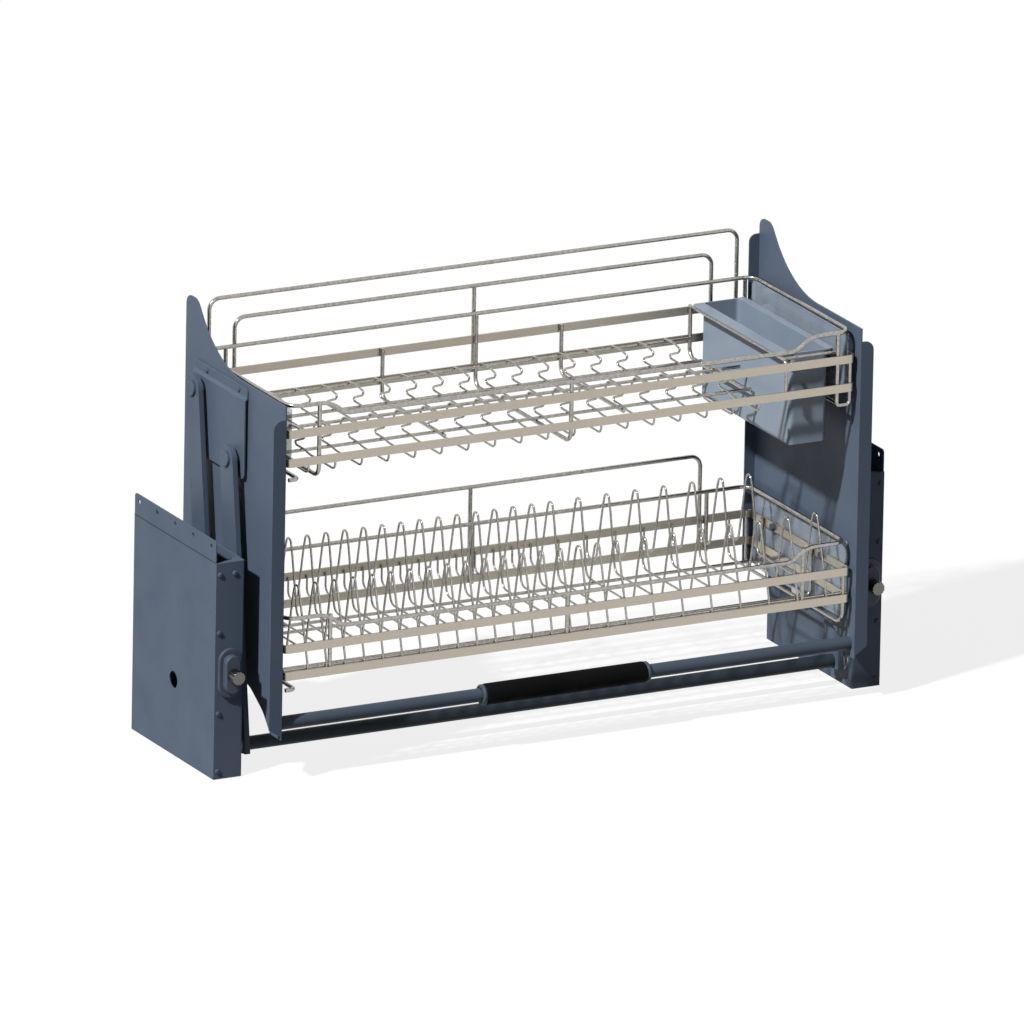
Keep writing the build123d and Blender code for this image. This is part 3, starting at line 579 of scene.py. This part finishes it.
def grip():
    """Soft sleeve on the handle with a painted collar at each end."""
    centre = at(0, handle_y, handle_z)
    end = grip_reach - collar_width
    right = []
    for i in range(arc_steps + 1):
        turn = math.pi / 2 * i / arc_steps
        right.append((end - grip_round * (1 - math.sin(turn)),
                      grip_radius - grip_round * (1 - math.cos(turn))))
    left = [(-x, radius) for x, radius in right[::-1]]
    profile = [(-end, grip_bore), *left, *right, (end, grip_bore)]
    sleeve = lathe("grip_sleeve", profile, "grip_rubber", centre)
    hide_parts("handle_grip")
    for sign, side in ((1, "right"), (-1, "left")):
        inner, outer = sign * (end + collar_gap), sign * grip_reach
        rim_x, rim_radius = outer - sign * collar_chamfer, collar_radius - collar_chamfer
        profile = [(inner, grip_bore), (inner, collar_radius), (rim_x, collar_radius),
                   (outer, rim_radius), (outer, grip_bore)]
        lathe(f"{side}_grip_collar", profile, "tube_paint", centre)


def spring_piece(name, x, route):
    """A mesh tube along part of a spring, from places beside x, along Y and above the axis."""
    path = [at(x + across, y, spring_z + up) for across, y, up in route]
    curve = tube_curve(name, [path], spring_wire / 2, spring_sides_level)
    line = bpy.data.objects.new(name, curve)
    mesh = bpy.data.meshes.new_from_object(line)
    bpy.data.objects.remove(line)
    mesh.materials.clear()
    mesh.materials.append(materials["spring_steel"])
    smooth(mesh)
    return add_to_scene(name, mesh)


def balance_spring(side, sign):
    """Coil spring in two pieces: the front half with the front hook and the rear half with the
    rear hook.
    """
    x = sign * spring_x
    front_y, rear_y = spring_pins_y
    first, last = front_y + spring_end_gap, rear_y - spring_end_gap
    eye = spring_eye_radius
    bends = [(eye * math.cos(turn), eye * math.sin(turn)) for turn in spring_eye_turns]
    front_eye = [(0.0, front_y + along, up) for along, up in bends]
    rear_eye = [(0.0, rear_y - along, up) for along, up in bends[::-1]]
    steps = spring_turns * spring_steps
    coil = []
    for i in range(steps + 1):
        turn = 2 * math.pi * i / spring_steps
        coil.append((spring_coil_radius * math.sin(turn), first + (last - first) * i / steps,
                     spring_coil_radius * math.cos(turn)))
    half = steps // 2
    front = spring_piece(f"{side}_spring_front", x, front_eye + coil[:half + 1])
    rear = spring_piece(f"{side}_spring_rear", x, coil[half:] + rear_eye)
    for piece in (front, rear):
        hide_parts(f"{side}_balance_spring")
    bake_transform(front)
    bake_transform(rear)


# Materials

class Recipe:
    """A node material with a Principled shader and a few shorthand calls."""

    def __init__(self, name):
        self.material = bpy.data.materials.new(name)
        self.material.use_nodes = True
        self.nodes = self.material.node_tree.nodes
        self.links = self.material.node_tree.links
        self.shader = self.nodes["Principled BSDF"]
        self.place = self.nodes.new("ShaderNodeTexCoord").outputs["Object"]

    def set(self, **values):
        """Fixed values on the shader's own sockets."""
        for name, value in values.items():
            self.shader.inputs[name.replace("_", " ")].default_value = value

    def node(self, kind, **settings):
        """A new node with its settings, and its inputs set or linked by name."""
        node = self.nodes.new(kind)
        inputs = settings.pop("inputs", {})
        for name, value in settings.items():
            setattr(node, name, value)
        for name, value in inputs.items():
            if isinstance(value, bpy.types.NodeSocket):
                self.links.new(value, node.inputs[name])
            else:
                node.inputs[name].default_value = value
        return node

    def noise(self, scale, detail, stretch=(1.0, 1.0, 1.0)):
        """A noise value from the place in metres, stretched along the axes."""
        mapping = self.node("ShaderNodeMapping", inputs={"Vector": self.place, "Scale": stretch})
        settings = {"Vector": mapping.outputs["Vector"], "Scale": scale, "Detail": detail}
        return self.node("ShaderNodeTexNoise", inputs=settings).outputs["Fac"]

    def between(self, value, low, high, source=noise_middle):
        """A value moved from one range to another, at first from the middle of a noise."""
        settings = {"Value": value, "From Min": source[0], "From Max": source[1],
                    "To Min": low, "To Max": high}
        return self.node("ShaderNodeMapRange", inputs=settings).outputs["Result"]

    def mixed(self, share, first, second):
        """A colour between two colours."""
        node = self.node("ShaderNodeMix", data_type="RGBA")
        self.links.new(share, node.inputs[0])
        for socket, value in ((node.inputs[6], first), (node.inputs[7], second)):
            if isinstance(value, bpy.types.NodeSocket):
                self.links.new(value, socket)
            else:
                socket.default_value = (*value, 1.0)
        return node.outputs[2]

    def edge_normal(self, radius):
        """The normal with edges rounded over a radius in millimetres."""
        settings = {"Radius": radius * millimetre}
        node = self.node("ShaderNodeBevel", samples=edge_samples, inputs=settings)
        return node.outputs["Normal"]

    def edges(self, normal):
        """A share that is 1 along sharp edges and 0 on flat faces."""
        flat = self.node("ShaderNodeNewGeometry").outputs["Normal"]
        dot = self.node("ShaderNodeVectorMath", operation="DOT_PRODUCT")
        self.links.new(normal, dot.inputs[0])
        self.links.new(flat, dot.inputs[1])
        return self.between(dot.outputs["Value"], 1.0, 0.0, edge_dots)

    def bump(self, height, strength, distance, normal=None):
        """A bump from a height, on top of another normal. The distance is in millimetres."""
        settings = {"Height": height, "Strength": strength, "Distance": distance * millimetre}
        node = self.node("ShaderNodeBump", inputs=settings)
        if normal is not None:
            self.links.new(normal, node.inputs["Normal"])
        return node.outputs["Normal"]

    def link(self, socket, name):
        """Links a value to one of the shader's sockets."""
        self.links.new(socket, self.shader.inputs[name])


def powder_coat(name, dark, light, sheen_and_wear_colour, seam_z=None):
    """Satin powder coat: a fine orange peel, faint cloudiness, and paler edges that are painted
    highlight and rubbed wear at once.

    A seam height gives a thin dark line where the mounting flange is folded on.
    """
    recipe = Recipe(name)
    recipe.set(Metallic=0.0, IOR=paint_ior, Specular_IOR_Level=paint_shine)
    cloud = recipe.between(recipe.noise(**paint_cloud), 0.0, 1.0)
    colour = recipe.mixed(cloud, dark, light)
    normal = recipe.edge_normal(paint_edge)
    # Paler edges: a painted highlight along every edge, mixed with rubbed wear by a noise.
    edge_sheen_and_wear = recipe.node("ShaderNodeMath", operation="MULTIPLY")
    recipe.links.new(recipe.edges(normal), edge_sheen_and_wear.inputs[0])
    sheen_and_wear_noise = recipe.between(recipe.noise(**paint_sheen_and_wear), *paint_sheen_and_wear_share)
    recipe.links.new(sheen_and_wear_noise, edge_sheen_and_wear.inputs[1])
    colour = recipe.mixed(edge_sheen_and_wear.outputs[0], colour, sheen_and_wear_colour)
    if seam_z is not None:
        height = recipe.node("ShaderNodeSeparateXYZ", inputs={"Vector": recipe.place}).outputs["Z"]
        line = recipe.node("ShaderNodeMath", operation="COMPARE")
        recipe.links.new(height, line.inputs[0])
        line.inputs[1].default_value = seam_z * millimetre
        line.inputs[2].default_value = seam_half_width * millimetre
        colour = recipe.mixed(line.outputs[0], colour, seam_colour)
    recipe.link(colour, "Base Color")
    recipe.link(recipe.between(recipe.noise(**paint_gloss), *paint_rough), "Roughness")
    peel = recipe.bump(recipe.noise(**paint_peel), paint_peel_strength, paint_peel_depth, normal)
    recipe.link(peel, "Normal")
    return recipe.material


def metal(name, dark, light, rough, grain, edge=0.0, streak_bump=0.15):
    """Bare or plated metal with fine drawn or brushed lines."""
    recipe = Recipe(name)
    recipe.set(Metallic=1.0)
    streaks = recipe.noise(**grain)
    recipe.link(recipe.mixed(recipe.between(streaks, 0.0, 1.0), dark, light), "Base Color")
    recipe.link(recipe.between(recipe.noise(**metal_gloss), *rough), "Roughness")
    normal = recipe.edge_normal(edge) if edge else None
    recipe.link(recipe.bump(streaks, streak_bump, metal_streak_depth, normal), "Normal")
    return recipe.material


def plastic(name, dark, light, rough, grain, shine=0.3):
    """Moulded plastic with a fine eroded grain."""
    recipe = Recipe(name)
    recipe.set(Metallic=0.0, IOR=plastic_ior, Specular_IOR_Level=shine)
    cloud = recipe.between(recipe.noise(**plastic_cloud), 0.0, 1.0)
    recipe.link(recipe.mixed(cloud, dark, light), "Base Color")
    recipe.link(recipe.between(recipe.noise(**plastic_gloss), *rough), "Roughness")
    normal = recipe.edge_normal(plastic_edge)
    bumps = recipe.noise(**grain)
    normal = recipe.bump(bumps, plastic_grain_strength, plastic_grain_depth, normal)
    recipe.link(normal, "Normal")
    return recipe.material


def clear_pane():
    """Clear pale blue acrylic with upright streaks: in its polish, and as painted streaks of
    reflection and shade in its colour and clearness.
    """
    recipe = Recipe("clear_pane")
    recipe.set(Metallic=0.0, IOR=plastic_ior)
    streaks = recipe.noise(**pane_polish_and_painted_streaks)
    # Painted streaks of reflection and shade: the colour and the clearness follow the streaks.
    recipe.link(recipe.mixed(streaks, *pane_colours), "Base Color")
    recipe.link(recipe.between(streaks, *pane_rough), "Roughness")
    recipe.link(recipe.between(streaks, *pane_alpha), "Alpha")
    recipe.link(recipe.bump(streaks, pane_bump_strength, pane_bump_depth), "Normal")
    return recipe.material


def grain(scale, detail=3.0, stretch=(1.0, 1.0, 1.0)):
    """Settings of the noise that gives a material its lines or grain."""
    return {"scale": scale, "detail": detail, "stretch": stretch}


materials = {
    "grey_paint": powder_coat("grey_powder_coat", dark=(0.074, 0.100, 0.143),
                              light=(0.087, 0.116, 0.163), sheen_and_wear_colour=(0.17, 0.20, 0.25)),
    "case_paint": powder_coat("case_powder_coat", dark=(0.066, 0.092, 0.134),
                              light=(0.078, 0.107, 0.152), sheen_and_wear_colour=(0.15, 0.18, 0.23),
                              seam_z=flange_seam_z),
    # A darker copy of the tube paint: painted shade for the sync tube, which lies in the handle's
    # shadow.
    "painted_shade_tube_paint": powder_coat("painted_shade_tube_coat", dark=(0.022, 0.030, 0.040),
                               light=(0.028, 0.037, 0.049), sheen_and_wear_colour=(0.06, 0.07, 0.09)),
    "arm_paint": powder_coat("arm_powder_coat", dark=(0.068, 0.091, 0.130),
                             light=(0.080, 0.106, 0.149), sheen_and_wear_colour=(0.16, 0.19, 0.24)),
    "tube_paint": powder_coat("tube_powder_coat", dark=(0.050, 0.066, 0.092),
                              light=(0.061, 0.079, 0.109), sheen_and_wear_colour=(0.14, 0.16, 0.20)),
    "screw_steel": powder_coat("screw_paint", dark=(0.060, 0.080, 0.112),
                               light=(0.078, 0.100, 0.138), sheen_and_wear_colour=(0.20, 0.22, 0.26)),
    "boss_plastic": plastic("boss_plastic", dark=(0.056, 0.074, 0.106),
                            light=(0.068, 0.088, 0.124), rough=(0.38, 0.5),
                            grain=grain(900.0, 2.0)),
    "box_plastic": plastic("box_plastic", dark=(0.205, 0.250, 0.315),
                           light=(0.235, 0.285, 0.350), rough=(0.32, 0.45),
                           grain=grain(700.0, 2.0)),
    "bush_plastic": plastic("bush_plastic", dark=(0.62, 0.61, 0.56), light=(0.70, 0.69, 0.64),
                            rough=(0.4, 0.5), grain=grain(900.0, 2.0)),
    "grip_rubber": plastic("grip_rubber", dark=(0.0022, 0.0023, 0.0026),
                           light=(0.0050, 0.0052, 0.0058), rough=(0.7, 0.9),
                           grain=grain(1500.0, 2.0), shine=0.05),
    "wire_steel": metal("wire_steel", dark=(0.30, 0.285, 0.26), light=(0.47, 0.45, 0.42),
                        rough=(0.14, 0.26), grain=grain(260.0), streak_bump=0.25),
    "strip_steel": metal("strip_steel", dark=(0.43, 0.39, 0.325), light=(0.50, 0.46, 0.39),
                         rough=(0.34, 0.44), grain=grain(1300.0)),
    "zinc_steel": metal("zinc_steel", dark=(0.40, 0.41, 0.43), light=(0.56, 0.57, 0.59),
                        rough=(0.3, 0.45), grain=grain(500.0), edge=0.5),
    "knob_metal": metal("knob_metal", dark=(0.11, 0.105, 0.095), light=(0.19, 0.18, 0.16),
                        rough=(0.18, 0.32), grain=grain(1500.0, stretch=(1.0, 0.05, 1.0)),
                        edge=0.5),
    "spring_steel": metal("spring_steel", dark=(0.13, 0.13, 0.14), light=(0.24, 0.24, 0.25),
                          rough=(0.3, 0.45), grain=grain(400.0)),
    "clear_pane": clear_pane(),
}


# Paints for single nodes. The sync tube gets the painted shade copy of the tube paint.
paints_by_node = {
    "right_case": "case_paint", "left_case": "case_paint", "sync_tube": "painted_shade_tube_paint",
    "right_upper_pins": "arm_paint", "left_upper_pins": "arm_paint",
}


def dress_nodes():
    """Better materials in the slots of the CAD nodes that stay shown."""
    for name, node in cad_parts.items():
        for slot in node.material_slots:
            plain = slot.material.name.split(".")[0]
            slot.material = materials[paints_by_node.get(name, plain)]


# Stage

def white_share(tree):
    """A share that is 1 for what the camera sees straight, in gloss or through glass."""
    path = tree.nodes.new("ShaderNodeLightPath")
    share = path.outputs["Is Camera Ray"]
    for name in ("Is Glossy Ray", "Is Transmission Ray"):
        step = tree.nodes.new("ShaderNodeMath")
        step.operation = "MAXIMUM"
        tree.links.new(share, step.inputs[0])
        tree.links.new(path.outputs[name], step.inputs[1])
        share = step.outputs[0]
    return share


def floor():
    """A pale floor that looks white and keeps the shadow of the rack."""
    material = bpy.data.materials.new("pale_floor")
    material.use_nodes = True
    tree = material.node_tree
    tree.nodes.clear()
    out = tree.nodes.new("ShaderNodeOutputMaterial")
    shade = tree.nodes.new("ShaderNodeBsdfDiffuse")
    shade.inputs["Color"].default_value = (floor_shade, floor_shade, floor_shade, 1.0)
    glow = tree.nodes.new("ShaderNodeEmission")
    level = tree.nodes.new("ShaderNodeMath")
    level.operation = "MULTIPLY"
    level.inputs[1].default_value = floor_glow
    tree.links.new(white_share(tree), level.inputs[0])
    tree.links.new(level.outputs[0], glow.inputs["Strength"])
    both = tree.nodes.new("ShaderNodeAddShader")
    tree.links.new(shade.outputs[0], both.inputs[0])
    tree.links.new(glow.outputs[0], both.inputs[1])
    tree.links.new(both.outputs[0], out.inputs["Surface"])
    bm = bmesh.new()
    bmesh.ops.create_grid(bm, x_segments=2, y_segments=2, size=floor_size_metres / 2)
    mesh = bpy.data.meshes.new("floor")
    bm.to_mesh(mesh)
    bm.free()
    mesh.materials.append(material)
    plane = add_to_scene("floor", mesh)
    plane.location.z = -floor_drop * millimetre


def sky():
    """Even soft light from all round, white where it is seen."""
    world = bpy.data.worlds.new("sky")
    world.use_nodes = True
    tree = world.node_tree
    background = tree.nodes["Background"]
    background.inputs["Color"].default_value = (1.0, 1.0, 1.0, 1.0)
    level = tree.nodes.new("ShaderNodeMapRange")
    level.inputs["To Min"].default_value = sky_level
    level.inputs["To Max"].default_value = white_level
    tree.links.new(white_share(tree), level.inputs["Value"])
    tree.links.new(level.outputs[0], background.inputs["Strength"])
    bpy.context.scene.world = world


def key_light():
    """One soft key light from the left, the front and above."""
    data = bpy.data.lights.new("key", "SUN")
    data.energy = key_strength
    data.angle = math.radians(key_spread)
    lamp = add_to_scene("key", data)
    lamp.rotation_mode = "QUATERNION"
    lamp.rotation_quaternion = Vector(key_travel).to_track_quat("-Z", "Y")


def camera():
    """The camera at the photograph's angle."""
    data = bpy.data.cameras.new("camera")
    data.sensor_width = sensor_width
    data.lens = view_lens
    azimuth = math.radians(view_azimuth)
    elevation = math.radians(view_elevation)
    back = Vector((math.sin(azimuth) * math.cos(elevation),
                   -math.cos(azimuth) * math.cos(elevation), math.sin(elevation)))
    eye = add_to_scene("camera", data)
    eye.rotation_mode = "QUATERNION"
    roll = Quaternion((0.0, 0.0, 1.0), math.radians(view_roll))
    eye.rotation_quaternion = (-back).to_track_quat("-Z", "Y") @ roll
    eye.location = Vector(view_aim_metres) + back * view_distance_metres
    bpy.context.scene.camera = eye


dress_nodes()
upper_frame()
lower_frame()
upper_rods()
lower_rods()
dividers()
plate_wires()
guard("upper_guard_wires", upper_guard_hoops, upper_guard_foot, "upper_guard")
guard("lower_guard_wires", lower_guard_hoops, lower_guard_foot, "lower_guard")
box_holder()
bands("upper_bands", upper_band_z, upper_band_nodes)
bands("lower_bands", lower_band_z, lower_band_nodes)
grip()
for sign, side in ((1, "right"), (-1, "left")):
    upper_x, lower_x = sign * upper_pane_outer_x, sign * lower_pane_outer_x
    end_pane(f"{side}_upper_pane", upper_x, upper_pane_front_y, upper_pane_z)
    end_pane(f"{side}_lower_pane", lower_x, lower_pane_front_y, lower_pane_z)
    balance_spring(side, sign)
floor()
sky()
key_light()
camera()
bpy.context.scene.view_settings.view_transform = "Standard"
